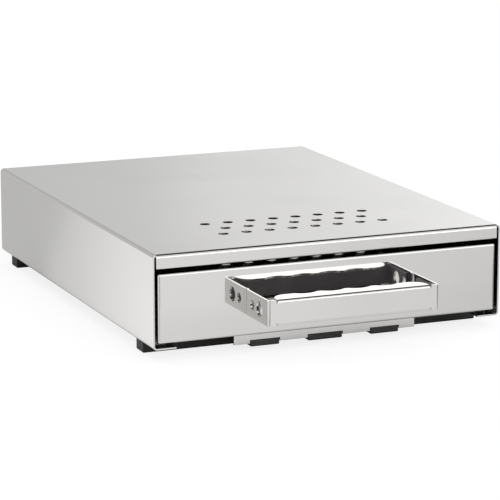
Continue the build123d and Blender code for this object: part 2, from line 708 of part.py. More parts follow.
def tray_screw_places():
    """Evenly spaced along the inner rail."""
    first = RAIL_FRONT + TRAY_SCREW_END
    step = (RAIL_LENGTH - 2 * TRAY_SCREW_END) / (TRAY_SCREWS - 1)
    return [first + place * step for place in range(TRAY_SCREWS)]


def tray_screws():
    """Pan head screws inside the tray, through its walls into the inner rails."""
    length = TRAY_SHEET + INNER_RAIL_SHEET + TRAY_SCREW_TAIL
    screws = []
    for y in tray_screw_places():
        place = Pos(TRAY_INNER_HALF, y, RUNNER_LIFT) * Rot(0, -90, 0)
        screws.append(place * small_screw(length))
    return Compound(screws + [other_side(screw) for screw in screws])


def handle_screw_places():
    """One screw through the middle of each handle tab."""
    return [(side * HANDLE_SCREW_X, HANDLE_SCREW_Z) for side in (-1, 1)]


def pad_places():
    """Middle and width of each pad."""
    places = []
    for number in range(PAD_COUNT):
        x = (number - (PAD_COUNT - 1) / 2) * PAD_PITCH
        width = MIDDLE_PAD_WIDTH if abs(x) < PAD_PITCH / 4 else PAD_WIDTH
        places.append((x, width))
    return places


def drawer_front():
    """A folded pan, with a tongue behind its bottom return under the tray."""
    outer = block(-FRONT_HALF, FRONT_HALF, 0, FRONT_RETURN, FRONT_LIFT, FRONT_TOP)
    rims = outer.edges() - outer.faces().sort_by(Axis.Y)[-1].edges()
    outer = fillet(rims, FRONT_BEND)
    inner_half = FRONT_HALF - FRONT_SHEET
    low = FRONT_LIFT + FRONT_SHEET
    inner = block(-inner_half, inner_half, FRONT_SHEET, FRONT_RETURN + PAST, low, FRONT_TOP - FRONT_SHEET)
    rims = inner.edges() - inner.faces().sort_by(Axis.Y)[-1].edges()
    inner = fillet(rims, FRONT_BEND - FRONT_SHEET)
    half = TONGUE_WIDTH / 2
    pan = outer - inner + block(-half, half, FRONT_BEND, TONGUE_BACK, FRONT_LIFT, low)
    for x, z in handle_screw_places():
        pan = pan - rod_y(M5_RADIUS + HOLE_FIT, x, -PAST, FRONT_SHEET + PAST, z)
    for x, width in pad_places():
        pan = pan - rod_z(M4_RADIUS + HOLE_FIT, x, PAD_MIDDLE, FRONT_LIFT - PAST, low + PAST)
    return pan


def upright_tub(half, y0, y1, z0, z1, corner):
    """A box with rounded upright corners."""
    tub = block(-half, half, y0, y1, z0, z1)
    return fillet(tub.edges().filter_by(Axis.Z), corner)


def rounded_tub(half, y0, y1, z0, z1, corner, bend):
    """A box with rounded upright corners and a rounded bottom."""
    tub = upright_tub(half, y0, y1, z0, z1, corner)
    return fillet(tub.faces().sort_by(Axis.Z)[0].edges(), bend)


def drawer_tray():
    """The open tray that catches the grounds, with a hem folded inside its rim."""
    sheet = TRAY_SHEET
    tray = rounded_tub(TRAY_HALF, TRAY_FRONT, TRAY_BACK, TRAY_FLOOR, TRAY_TOP, TRAY_CORNER, TRAY_BEND)
    hollow = rounded_tub(
        TRAY_INNER_HALF,
        TRAY_FRONT + sheet,
        TRAY_BACK - sheet,
        TRAY_FLOOR_TOP,
        TRAY_TOP - TRAY_HEM,
        TRAY_CORNER - sheet,
        TRAY_BEND - sheet,
    )
    mouth = upright_tub(
        TRAY_INNER_HALF - sheet,
        TRAY_FRONT + 2 * sheet,
        TRAY_BACK - 2 * sheet,
        TRAY_TOP - TRAY_HEM - PAST,
        TRAY_TOP + PAST,
        TRAY_CORNER - 2 * sheet,
    )
    tray = tray - hollow - mouth
    for x, z in handle_screw_places():
        tray = tray - rod_y(M5_RADIUS + HOLE_FIT, x, TRAY_FRONT - PAST, TRAY_FRONT + 2 * sheet, z)
    for x, width in pad_places():
        tray = tray - rod_z(M4_RADIUS + HOLE_FIT, x, PAD_MIDDLE, TRAY_FLOOR - PAST, TRAY_FLOOR_TOP + PAST)
    for x, y in bar_screw_places():
        tray = tray - rod_z(M4_RADIUS + HOLE_FIT, x, y, TRAY_FLOOR - PAST, TRAY_FLOOR_TOP + PAST)
    for y in tray_screw_places():
        for side in (-1, 1):
            ends = sorted((side * (TRAY_INNER_HALF - PAST), side * (TRAY_HALF + PAST)))
            tray = tray - rod_x(M4_RADIUS + HOLE_FIT, ends[0], ends[1], y, RUNNER_LIFT)
    return tray


def lip_plate(z0, z1, depth):
    """The flat of a handle lip behind its bend."""
    front = HANDLE_LIP_BEND - HANDLE_REACH
    back = depth - HANDLE_REACH
    return block(-HANDLE_LIP_HALF, HANDLE_LIP_HALF, front, back, z0, z1)


def scalloped_lip():
    """The top lip, with a hollow for each finger and rounded ends."""
    lip = lip_plate(HANDLE_TOP - HANDLE_SHEET, HANDLE_TOP, HANDLE_LIP_DEPTH)
    y = HANDLE_LIP_DEPTH - HANDLE_REACH - FINGER_BITE + FINGER_RADIUS
    for finger in range(FINGERS):
        x = (finger - (FINGERS - 1) / 2) * FINGER_PITCH
        lip = lip - rod_z(FINGER_RADIUS, x, y, HANDLE_LIFT, HANDLE_TOP + PAST)
    corners = lip.edges().filter_by(Axis.Z).group_by(Axis.Y)[-1].sort_by(Axis.X)
    between = min(abs(b.center().X - a.center().X) for a, b in zip(corners[1:], corners[2:]))
    lip = fillet(corners[1:-1], min(FINGER_BLEND, between / 2))
    corners = lip.edges().filter_by(Axis.Z).group_by(Axis.Y)[-1].sort_by(Axis.X)
    return fillet([corners[0], corners[-1]], HANDLE_LIP_CORNER)


def handle_bracket():
    """Two side plates and a front plate folded from one strip, with low tabs against the drawer front."""
    outer = round_sketch(HANDLE_WIDTH, HANDLE_REACH, HANDLE_CORNER)
    width = HANDLE_WIDTH - 2 * HANDLE_SHEET
    depth = HANDLE_REACH - 2 * HANDLE_SHEET
    inner = round_sketch(width, depth, HANDLE_CORNER - HANDLE_SHEET)
    ring = Pos(0, -HANDLE_REACH / 2) * (outer - inner)
    gap = HANDLE_WIDTH / 2 - HANDLE_TAB
    ring = ring - strip(-gap, gap, -HANDLE_SHEET - HANDLE_CORNER, PAST)
    handle = Pos(0, 0, HANDLE_LIFT) * extrude(ring, amount=HANDLE_HEIGHT)
    bend = HANDLE_WIDTH / 2 - HANDLE_CORNER
    handle = handle - block(-bend, bend, -HANDLE_CORNER, PAST, HANDLE_TAB_TOP, HANDLE_TOP + PAST)
    relief = HANDLE_LIP_HALF + HANDLE_LIP_RELIEF
    front = -HANDLE_REACH - PAST
    behind = HANDLE_SHEET - HANDLE_REACH
    top_cut = HANDLE_TOP - HANDLE_LIP_BEND
    base_cut = HANDLE_LIFT + HANDLE_LIP_BEND
    handle = handle - block(-relief, relief, front, behind, top_cut, HANDLE_TOP + PAST)
    handle = handle - block(-relief, relief, front, behind, HANDLE_LIFT - PAST, base_cut)
    rise = HANDLE_HEIGHT / 2
    top_fold = folded_angle(
        (HANDLE_LIP_HALF, -HANDLE_REACH, HANDLE_TOP),
        (0, 1, 0),
        (0, 0, -1),
        HANDLE_LIP_BEND + FOLD_OVERLAP,
        rise,
        HANDLE_SHEET,
        HANDLE_LIP_BEND,
        2 * HANDLE_LIP_HALF,
    )
    base_fold = folded_angle(
        (-HANDLE_LIP_HALF, -HANDLE_REACH, HANDLE_LIFT),
        (0, 1, 0),
        (0, 0, 1),
        HANDLE_LIP_BEND + FOLD_OVERLAP,
        rise,
        HANDLE_SHEET,
        HANDLE_LIP_BEND,
        2 * HANDLE_LIP_HALF,
    )
    base_lip = lip_plate(HANDLE_LIFT, HANDLE_LIFT + HANDLE_SHEET, HANDLE_BASE_LIP)
    handle = handle + top_fold + base_fold + scalloped_lip() + base_lip
    for x, z in handle_screw_places():
        handle = handle - rod_y(M5_RADIUS + HOLE_FIT, x, -HANDLE_SHEET - PAST, PAST, z)
    return handle - side_holes()


def side_holes():
    """A large and a small hole through both side plates."""
    holes = []
    half = HANDLE_WIDTH / 2 + PAST
    for diameter, place in (
        (SIDE_HOLE_LARGE, SIDE_HOLE_LARGE_PLACE),
        (SIDE_HOLE_SMALL, SIDE_HOLE_SMALL_PLACE),
    ):
        holes.append(rod_x(diameter / 2, -half, half, -place, HANDLE_MIDDLE))
    return holes


def handle_liner():
    """A black grip liner inside the handle's side and front plates."""
    skin = HANDLE_SHEET + LINER_FIT
    rim = HANDLE_LIP_BEND + LINER_FIT
    width = HANDLE_WIDTH - 2 * skin
    depth = HANDLE_REACH - 2 * skin
    corner = HANDLE_CORNER - HANDLE_SHEET
    outer = round_sketch(width, depth, corner)
    inner = round_sketch(width - 2 * LINER_SHEET, depth - 2 * LINER_SHEET, corner / 2)
    ring = Pos(0, -HANDLE_REACH / 2) * (outer - inner)
    ring = ring - strip(-HANDLE_WIDTH, HANDLE_WIDTH, -LINER_END, PAST)
    liner = Pos(0, 0, HANDLE_LIFT + rim) * extrude(ring, amount=HANDLE_HEIGHT - 2 * rim)
    return liner - side_holes()


def handle_screws():
    """Button head screws from the front."""
    length = HANDLE_SHEET + FRONT_SHEET + TRAY_SHEET + M5_WASHER + M5_NUT + THREAD_END
    screw = Rot(90, 0, 0) * socket_screw(length)
    head_y = -HANDLE_SHEET - M5_WASHER
    return Compound([Pos(x, head_y, z) * screw for x, z in handle_screw_places()])


def handle_washers():
    """Washers under the screw heads."""
    ring = washer(M5_WASHER_RADIUS, M5_RADIUS + HOLE_FIT, M5_WASHER)
    return Compound([Pos(x, -HANDLE_SHEET, z) * Rot(90, 0, 0) * ring for x, z in handle_screw_places()])


def handle_nuts():
    """Nuts inside the tray's front wall."""
    nut = hex_nut(M5_NUT_FLATS, M5_NUT, M5_RADIUS + HOLE_FIT)
    face = TRAY_FRONT + TRAY_SHEET
    return Compound([Pos(x, face, z) * Rot(-90, 0, 0) * nut for x, z in handle_screw_places()])


def support_bracket():
    """An angle under the drawer front, notched for the pads."""
    half = SUPPORT_WIDTH / 2
    bracket = folded_angle(
        (half, SUPPORT_SETBACK, SUPPORT_TOP),
        (0, 1, 0),
        (0, 0, -1),
        TONGUE_BACK - SUPPORT_SETBACK,
        SUPPORT_TOP + SUPPORT_DROP,
        SUPPORT_SHEET,
        SUPPORT_BEND,
        SUPPORT_WIDTH,
    )
    top = SUPPORT_BOTTOM + PAD_NOTCH_RISE
    for x, width in pad_places():
        side = width / 2 + PAD_GAP
        notch = block(x - side, x + side, SUPPORT_SETBACK - PAST, PAD_MIDDLE, SUPPORT_BOTTOM - PAST, top)
        hole = rod_z(M4_RADIUS + HOLE_FIT, x, PAD_MIDDLE, PAD_TOP - PAST, SUPPORT_TOP + PAST)
        bracket = bracket - notch - hole
    return bracket


def bump_pad(x, width):
    """A rubber pad behind the bracket's face, with its lower part forward in the notch."""
    back = SUPPORT_SETBACK + SUPPORT_SHEET + PAD_DEPTH
    low = SUPPORT_BOTTOM - PAD_BELOW
    step = SUPPORT_BOTTOM + PAD_NOTCH_RISE - HOLE_FIT
    lower = block(x - width / 2, x + width / 2, SUPPORT_SETBACK, back, low, step)
    behind = SUPPORT_SETBACK + SUPPORT_BEND + HOLE_FIT
    upper = block(x - width / 2, x + width / 2, behind, back, low + PAD_EDGE, PAD_TOP)
    lower = chamfer(lower.edges().group_by(Axis.Z)[0], PAD_EDGE)
    depth = PAD_TOP - PAD_SCREW_DEPTH
    return lower + upper - rod_z(M4_RADIUS + HOLE_FIT, x, PAD_MIDDLE, depth, PAD_TOP + PAST)


def pad_screws():
    """Screws from the tray floor down into the pads."""
    length = TRAY_FLOOR_TOP - PAD_TOP + PAD_SCREW_DEPTH - HOLE_FIT
    return Compound([Pos(x, PAD_MIDDLE, TRAY_FLOOR_TOP) * small_screw(length) for x, width in pad_places()])


def knock_bar_rod():
    """The steel rod that the grounds are knocked out on, tapped at each end."""
    bar = rod_x(BAR_RADIUS, -BAR_DISC_FACE, BAR_DISC_FACE, BAR_PLACE, BAR_LIFT)
    depth = BAR_BRACKET_FACE - M6_DEPTH - HOLE_FIT
    hole = rod_x(M6_RADIUS + HOLE_FIT, depth, HALF_WIDTH, BAR_PLACE, BAR_LIFT)
    return bar - hole - other_side(hole)


def knock_bar_sleeve():
    """The thick rubber sleeve round the rod."""
    sleeve = rod_x(BAR_SLEEVE_RADIUS, -BAR_SLEEVE_HALF, BAR_SLEEVE_HALF, BAR_PLACE, BAR_LIFT)
    rims = sleeve.edges().filter_by(GeomType.CIRCLE)
    sleeve = fillet(rims, BAR_SLEEVE_EDGE)
    return sleeve - rod_x(BAR_RADIUS, -HALF_WIDTH, HALF_WIDTH, BAR_PLACE, BAR_LIFT)


def knock_bar_discs():
    """A thrust disc between each sleeve end and its bracket."""
    disc = washer(BAR_DISC_RADIUS, M6_RADIUS + HOLE_FIT, BAR_DISC)
    right = Pos(BAR_DISC_FACE, BAR_PLACE, BAR_LIFT) * Rot(0, 90, 0) * disc
    return Compound([right, other_side(right)])


def bar_screw_places():
    """Two screws through each bar bracket's foot."""
    spread = BAR_SCREW_SPREAD / 2
    return corner_places(BAR_SCREW_X, BAR_PLACE - spread, BAR_PLACE + spread)


def bar_bracket():
    """The right bracket that carries the knock bar, with its foot towards the tray wall."""
    half = BAR_BRACKET_WIDTH / 2
    bracket = folded_angle(
        (BAR_BRACKET_FACE, BAR_PLACE - half, TRAY_FLOOR_TOP),
        (0, 0, 1),
        (1, 0, 0),
        BAR_BRACKET_RISE,
        BAR_FOOT_END - BAR_BRACKET_FACE,
        BAR_BRACKET_SHEET,
        BAR_BRACKET_BEND,
        BAR_BRACKET_WIDTH,
    )
    tops = bracket.edges().filter_by(Axis.X).group_by(Axis.Z)[-1]
    bracket = fillet(tops, BAR_BRACKET_CORNER)
    bracket = bracket - rod_x(M6_RADIUS + HOLE_FIT, 0, HALF_WIDTH, BAR_PLACE, BAR_LIFT)
    hole_top = TRAY_FLOOR_TOP + 2 * BAR_BRACKET_SHEET
    for x, y in bar_screw_places():
        bracket = bracket - rod_z(M4_RADIUS + HOLE_FIT, x, y, TRAY_FLOOR, hole_top)
    return bracket


def bar_bolts():
    """Hexagon bolts into the rod's ends."""
    face = BAR_BRACKET_FACE + BAR_BRACKET_SHEET + M6_WASHER
    head = extrude(RegularPolygon(M6_HEAD_FLATS / 2, 6, major_radius=False), amount=M6_HEAD_HEIGHT)
    head = Pos(face, BAR_PLACE, BAR_LIFT) * Rot(0, 90, 0) * head
    shank = rod_x(M6_RADIUS, BAR_BRACKET_FACE - M6_DEPTH, face, BAR_PLACE, BAR_LIFT)
    right = head + shank
    return Compound([right, other_side(right)])


def bar_washers():
    """Washers under the bar bolts."""
    ring = washer(M6_WASHER_RADIUS, M6_RADIUS + HOLE_FIT, M6_WASHER)
    right = Pos(BAR_BRACKET_FACE + BAR_BRACKET_SHEET, BAR_PLACE, BAR_LIFT) * Rot(0, 90, 0) * ring
    return Compound([right, other_side(right)])


def bar_bracket_screws():
    """Screws down through the bracket feet and the tray floor."""
    top = TRAY_FLOOR_TOP + BAR_BRACKET_SHEET
    length = BAR_BRACKET_SHEET + TRAY_SHEET + M4_NUT
    return Compound([Pos(x, y, top) * small_screw(length) for x, y in bar_screw_places()])


def bar_bracket_nuts():
    """Nuts under the tray floor."""
    nut = hex_nut(M4_NUT_FLATS, M4_NUT, M4_RADIUS + HOLE_FIT)
    return Compound([Pos(x, y, TRAY_FLOOR - M4_NUT) * nut for x, y in bar_screw_places()])


def all_parts():
    """Every piece by its name."""
    front_foot_y = FRONT_FOOT_SETBACK
    rear_foot_y = CASE_DEPTH - REAR_FOOT_SETBACK - FOOT_DEPTH
    through = BRACKET_TOP + BRACKET_SCREW_BELOW
    parts = {
        "casing_shell": casing_shell(),
        "rear_panel": rear_panel(),
        "rear_panel_rivets": rear_panel_rivets(),
        "rear_bumpers": rear_bumpers(),
        "front_top_stiffener": top_stiffener(FRONT_STIFFENER_PLACE),
        "rear_top_stiffener": top_stiffener(REAR_STIFFENER_PLACE),
        "front_foot_bar": foot_bar(front_foot_y),
        "rear_foot_bar": foot_bar(rear_foot_y),
        "foot_bar_screws": screws_down(foot_screw_places(), BRACKET_TOP + FOOT_SCREW_DEPTH),
        "slide_bracket_screws": screws_down(bracket_screw_places(), through),
        "rail_rivets": rail_rivets(),
        "drawer_front": drawer_front(),
        "drawer_tray": drawer_tray(),
        "tray_screws": tray_screws(),
        "handle_bracket": handle_bracket(),
        "handle_liner": handle_liner(),
        "handle_screws": handle_screws(),
        "handle_washers": handle_washers(),
        "handle_nuts": handle_nuts(),
        "support_bracket": support_bracket(),
        "pad_screws": pad_screws(),
        "knock_bar_rod": knock_bar_rod(),
        "knock_bar_sleeve": knock_bar_sleeve(),
        "knock_bar_discs": knock_bar_discs(),
        "knock_bar_bolts": bar_bolts(),
        "knock_bar_washers": bar_washers(),
        "bar_bracket_screws": bar_bracket_screws(),
        "bar_bracket_nuts": bar_bracket_nuts(),
    }
    for name, (x, width) in zip(("left", "middle", "right"), pad_places()):
        parts[name + "_bump_pad"] = bump_pad(x, width)
    sided = {
        "slide_bracket": slide_bracket(),
        "outer_rail": outer_rail(),
        "middle_rail": middle_rail(),
        "inner_rail": inner_rail(),
        "outer_ball_cage": ball_cage(OUTER_CAGE_WEB, OUTER_BALL_LINE),
        "outer_balls": cage_balls(OUTER_CAGE_WEB, OUTER_BALL_LINE),
        "inner_ball_cage": ball_cage(INNER_CAGE_WEB, INNER_BALL_LINE),
        "inner_balls": cage_balls(INNER_CAGE_WEB, INNER_BALL_LINE),
        "bar_bracket": bar_bracket(),
    }
    for name, part in sided.items():
        parts["right_" + name] = part
        parts["left_" + name] = other_side(part)
    return parts


os.makedirs("parts", exist_ok=True)
on_counter = Pos(0, FRONT_Y, FOOT_HEIGHT)
for name, part in all_parts().items():
    export_step(on_counter * part, "parts/" + name + ".step")
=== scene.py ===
import bpy
from bpy.props import FloatProperty, FloatVectorProperty, PointerProperty
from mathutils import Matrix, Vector


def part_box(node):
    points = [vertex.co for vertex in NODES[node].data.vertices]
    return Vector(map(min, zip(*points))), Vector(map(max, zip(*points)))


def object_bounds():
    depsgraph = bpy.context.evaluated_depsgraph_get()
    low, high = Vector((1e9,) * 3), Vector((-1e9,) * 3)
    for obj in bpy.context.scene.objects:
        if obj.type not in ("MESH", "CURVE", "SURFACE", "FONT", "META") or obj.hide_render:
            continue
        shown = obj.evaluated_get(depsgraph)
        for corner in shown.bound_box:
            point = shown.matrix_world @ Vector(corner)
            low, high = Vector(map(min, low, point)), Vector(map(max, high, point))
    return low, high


bl_info = {
    "name": "Knock drawer finish",
    "version": (1, 0, 0),
    "blender": (4, 5, 0),
    "location": "3D View > Sidebar > Knock drawer",
    "description": "Finishes, lights and camera for a coffee knock drawer",
    "category": "Object",
}

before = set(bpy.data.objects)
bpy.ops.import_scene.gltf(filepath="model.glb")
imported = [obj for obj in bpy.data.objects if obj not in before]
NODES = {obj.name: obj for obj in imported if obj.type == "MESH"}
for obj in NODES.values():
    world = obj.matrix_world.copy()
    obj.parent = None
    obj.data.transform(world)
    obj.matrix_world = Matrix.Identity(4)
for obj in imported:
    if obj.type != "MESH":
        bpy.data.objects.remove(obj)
CAD_LOW, CAD_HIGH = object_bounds()

CASING = ("casing_shell",)
FRONT = ("drawer_front", "support_bracket")
HANDLE = ("handle_bracket",)
TRAY = ("drawer_tray",)
INNER_SHEETS = ("rear_panel", "front_top_stiffener", "rear_top_stiffener")
BAR_STEEL = ("knock_bar_rod", "knock_bar_discs", "left_bar_bracket", "right_bar_bracket")
RUNNERS = (
    "left_slide_bracket",
    "right_slide_bracket",
    "left_outer_rail",
    "right_outer_rail",
    "left_middle_rail",
    "right_middle_rail",
    "left_inner_rail",
    "right_inner_rail",
)
CAGES = (
    "left_outer_ball_cage",
    "right_outer_ball_cage",
    "left_inner_ball_cage",
    "right_inner_ball_cage",
)
BALLS = ("left_outer_balls", "right_outer_balls", "left_inner_balls", "right_inner_balls")
FASTENERS = (
    "rear_panel_rivets",
    "rail_rivets",
    "foot_bar_screws",
    "slide_bracket_screws",
    "tray_screws",
    "handle_screws",
    "handle_washers",
    "handle_nuts",
    "pad_screws",
    "knock_bar_bolts",
    "knock_bar_washers",
    "bar_bracket_screws",
    "bar_bracket_nuts",
)
FEET = ("front_foot_bar", "rear_foot_bar")
PADS = ("rear_bumpers", "left_bump_pad", "middle_bump_pad", "right_bump_pad")
SLEEVE = ("knock_bar_sleeve",)
LINER = ("handle_liner",)

# The part of each noise that counts as streak, haze or bloom
STREAK_RANGE = (0.3, 0.7)
HAZE_RANGE = (0.38, 0.72)
BLOOM_RANGE = (0.4, 0.75)

# How alike the softened and the true normal are off an edge and on it
EDGE_RANGE = (0.995, 0.9)

# Roughness that a cut edge adds to steel, and how wide edges are softened, in metres
EDGE_ROUGHNESS = 0.08
STEEL_EDGE = 0.0003
MOULDED_EDGE = 0.0004

# Shares of the steel's colour that hazy places and the inner side of a folded sheet keep. The inner
# side's darker share is partly its duller mill finish and partly painted shade, which darkens gaps, vent
# walls and the inside of the casing and drawer front.
HAZE_TONE = 0.97
MILL_AND_SHADE_TONE = 0.5

# Over what depth of the sheet its inner side fades into the outer one, in metres
MILL_FADE = 0.0002

# How high the grain of a surface stands at full strength, in metres
RELIEF = 0.0001

# The studio, by the direction that a reflection leads in, from -1 to 1 on each axis. A slope is where
# it begins and ends, and its values there. The wall's lights are added and its shade is taken off.
WALL_SLOPE = (0.2, 0.8, 0.53, 1.31)
WALL_LIGHTS = ((0.05, -0.15, 0.0, 0.13), (0.335, 0.37, 0.0, 0.11), (0.39, 0.52, 0.0, 0.22))
WALL_SHADE = (0.5, 0.66, 0.0, 0.65)
CEILING_FOOT = (0.4, 0.56, 0.0, 1.0)
CEILING_FRONT = (-0.45, -0.05, 0.0, 1.0)
CEILING_REAR = (0.53, 0.73, 1.0, 0.45)
CEILING_LEFT = (0.26, 0.32, 0.0, 1.0)
CEILING_RIGHT = (0.49, 0.55, 1.0, 0.0)
FRONT_WALL_START = (-0.2, -0.85, 0.0, 1.0)
FRONT_WALL_FOOT = (-0.02, 0.12, 0.0, 1.0)
FRONT_WALL_TONE = 1.1
WINDOW_TOP = (0.34, 0.46, 1.1, 0.0)
WINDOW_LEFT = (0.18, 0.28, 0.0, 1.0)
SOFT_TONE = 0.8
BACKGROUND_TONE = 1.0

# The floor as polished steel sees it, in metres. The casing's left side shows it along one slant,
# and the drawer front and handle along another.
SIDE_SLANT = 2.39
SIDE_SLOPE = (-0.54, -0.22, 1.17, 0.61)
SIDE_STEP = (-0.275, -0.235, 0.08, 0.0)
FRONT_SLANT = 0.42
FRONT_SLOPE = (-0.22, 0.07, 1.04, 0.88)
FRONT_NEAR = (-0.36, -0.27, 1.0, 0.93)
FRONT_TO_SIDE = (-0.24, -0.12, 0.0, 1.0)

# A slightly darker strip of floor, shown where the handle's left plate meets the drawer front
STRIP_SLANT = 0.418
STRIP_LEFT = (-0.035, -0.025, 0.0, 1.0)
STRIP_RIGHT = (0.03, 0.04, 1.0, 0.0)
STRIP_SHADE = (-0.13, -0.118, 0.17, 0.0)

# Narrow dark strips that lead forward from left front corners, and how far off each one starts
FLAG_STARTS = {"drawer_front": 0.04, "handle_bracket": 0.118}
FLAG_FADE = 0.015
FLAG_SLANT = 0.2
FLAG_SIDE = (0.07, 0.1, 1.0, 0.0)

# A dark patch of floor that the right front corners of the handle and drawer front show
PATCH_NEAR = (-0.38, -0.35, 0.0, 0.75)
PATCH_FAR = (-0.2, -0.18, 1.0, 0.0)
PATCH_LEFT = (0.09, 0.11, 0.0, 1.0)

# How far the object shades the floor in reflections, and by how much
SHADE_REACH = 0.045
SHADE_SLOPE = (0.2, 0.75, 0.05, 1.0)

# How far in from the casing's edges the floor's glow to the camera starts to fade, and is gone
UNDER_SIDE = (0.018, 0.026)
UNDER_FRONT = (0.045, 0.06)
UNDER_REAR = (0.03, 0.04)

# The floor's own colour, its glow to the camera, and the shares of glow that camera and steel see
FLOOR_COLOUR = (0.85, 0.85, 0.85, 1.0)
CAMERA_GLOW = 1.1
CAMERA_SHARE = 0.75
STEEL_SHARE = 0.8

SOFTBOX_PLACE = (-0.4, -3.2, 2.2)
SOFTBOX_AIM = (0.0, 0.0, 0.05)
SOFTBOX_WIDTH = 2.6
SOFTBOX_HEIGHT = 1.6
SENSOR_WIDTH = 36.0
NEAREST_SEEN = 0.1
FURTHEST_SEEN = 60.0

# The sockets of a mix node for each kind: its share, its two sides and its result
MIX_SOCKETS = {"FLOAT": (0, 2, 3, 0), "RGBA": (0, 6, 7, 2)}


def add(tree, kind, **settings):
    """A shader node with its own settings."""
    made = tree.nodes.new(kind)
    for name, value in settings.items():
        setattr(made, name, value)
    return made


def feed(tree, value, socket):
    """Link a socket to another one, or give it a plain value."""
    if isinstance(value, bpy.types.NodeSocket):
        tree.links.new(value, socket)
    else:
        socket.default_value = value


def fill(tree, node, **values):
    """Feed a node's sockets by name, with an underscore for each space."""
    for name, value in values.items():
        feed(tree, value, node.inputs[name.replace("_", " ")])
    return node


def math_node(tree, operation, *values):
    """The result of one sum on plain values or sockets."""
    made = add(tree, "ShaderNodeMath", operation=operation)
    for socket, value in zip(made.inputs, values):
        feed(tree, value, socket)
    return made.outputs[0]


def product(tree, first, *others):
    """Values or sockets multiplied together."""
    for other in others:
        first = math_node(tree, "MULTIPLY", first, other)
    return first


def total(tree, first, *others):
    """Values or sockets added up."""
    for other in others:
        first = math_node(tree, "ADD", first, other)
    return first


def map_value(tree, value, low, high, to_low, to_high, kind="SMOOTHSTEP"):
    """A value carried from one range to another, and held at its ends."""
    made = add(tree, "ShaderNodeMapRange", interpolation_type=kind)
    fill(tree, made, Value=value, From_Min=low, From_Max=high, To_Min=to_low, To_Max=to_high)
    return made.outputs["Result"]


def area(tree, *sides):
    """The product of several slopes, each given after the value that it maps."""
    return product(tree, *(map_value(tree, value, *slope) for value, slope in sides))


def mix(tree, kind, share, first, second):
    """A blend of two values or colours."""
    made = add(tree, "ShaderNodeMix", data_type=kind)
    *places, result = MIX_SOCKETS[kind]
    for place, value in zip(places, (share, first, second)):
        feed(tree, value, made.inputs[place])
    return made.outputs[result]


def mix_shaders(tree, share, first, second):
    """A blend of two shaders."""
    made = add(tree, "ShaderNodeMixShader")
    for socket, value in zip(made.inputs, (share, first, second)):
        feed(tree, value, socket)
    return made.outputs[0]


def vector_node(tree, operation, first, second):
    """The result of one sum on two vectors."""
    made = add(tree, "ShaderNodeVectorMath", operation=operation)
    feed(tree, first, made.inputs[0])
    feed(tree, second, made.inputs[1])
    return made.outputs["Value" if operation in {"DOT_PRODUCT", "DISTANCE"} else "Vector"]


def noise(tree, **values):
    """Soft cloudy noise from 0 to 1."""
    return fill(tree, add(tree, "ShaderNodeTexNoise"), **values).outputs["Fac"]


def axes(tree, vector):
    """The X, Y and Z of a vector."""
    return fill(tree, add(tree, "ShaderNodeSeparateXYZ"), Vector=vector).outputs


def object_place(tree):
    """Where a point lies in the object's own frame."""
    return add(tree, "ShaderNodeTexCoord").outputs["Object"]


def new_group(name, inputs, outputs):
    """An empty node group with its sockets, and its two end nodes."""
    group = bpy.data.node_groups.new(name, "ShaderNodeTree")
    for socket, kind, value in inputs:
        made = group.interface.new_socket(socket, in_out="INPUT", socket_type=kind)
        made.default_value = value
    for socket, kind in outputs:
        group.interface.new_socket(socket, in_out="OUTPUT", socket_type=kind)
    return group, add(group, "NodeGroupInput"), add(group, "NodeGroupOutput")


def rolled_grain(name):
    """Fine streaks along the direction that the sheet was rolled in."""
    group, start, end = new_group(
        name,
        [("Stretch", "NodeSocketVector", (1, 1, 1))],
        [("Streak", "NodeSocketFloat")],
    )
    stretched = vector_node(group, "MULTIPLY", object_place(group), start.outputs["Stretch"])
    fill(group, end, Streak=noise(group, Vector=stretched, Scale=1.0, Detail=4.0, Roughness=0.65))
    return group


def handling_haze(name):
    """Broad soft patches where hands and cloths have been."""
    group, start, end = new_group(
        name,
        [("Patch Scale", "NodeSocketFloat", 12.0)],
        [("Haze", "NodeSocketFloat")],
    )
    patches = noise(
        group,
        Vector=object_place(group),
        Scale=start.outputs["Patch Scale"],
        Detail=3.0,
        Distortion=0.4,
    )
    fill(group, end, Haze=map_value(group, patches, *HAZE_RANGE, 0.0, 1.0))
    return group


def cut_edge(name):
    """A mask and a softened normal along sharp edges."""
    group, start, end = new_group(
        name,
        [("Width", "NodeSocketFloat", STEEL_EDGE)],
        [("Edge", "NodeSocketFloat"), ("Normal", "NodeSocketVector")],
    )
    bevel = fill(group, add(group, "ShaderNodeBevel", samples=4), Radius=start.outputs["Width"])
    softened = bevel.outputs["Normal"]
    true_normal = add(group, "ShaderNodeNewGeometry").outputs["Normal"]
    alike = vector_node(group, "DOT_PRODUCT", softened, true_normal)
    fill(group, end, Edge=map_value(group, alike, *EDGE_RANGE, 0.0, 1.0), Normal=softened)
    return group


def mill_side(name):
    """A mask of the inner side of a folded sheet, by a box with rounded corners; steel uses it for a
    duller mill finish and for painted shade.
    """
    group, start, end = new_group(
        name,
        [
            ("Low Corner", "NodeSocketVector", (-1, -1, -1)),
            ("High Corner", "NodeSocketVector", (1, 1, 1)),
            ("Reach", "NodeSocketFloat", 0.002),
        ],
        [("Dull", "NodeSocketFloat")],
    )
    place = object_place(group)
    held = vector_node(group, "MAXIMUM", place, start.outputs["Low Corner"])
    nearest = vector_node(group, "MINIMUM", held, start.outputs["High Corner"])
    away = vector_node(group, "DISTANCE", place, nearest)
    past = math_node(group, "SUBTRACT", away, start.outputs["Reach"])
    fill(group, end, Dull=map_value(group, past, 0.0, MILL_FADE, 1.0, 0.0))
    return group


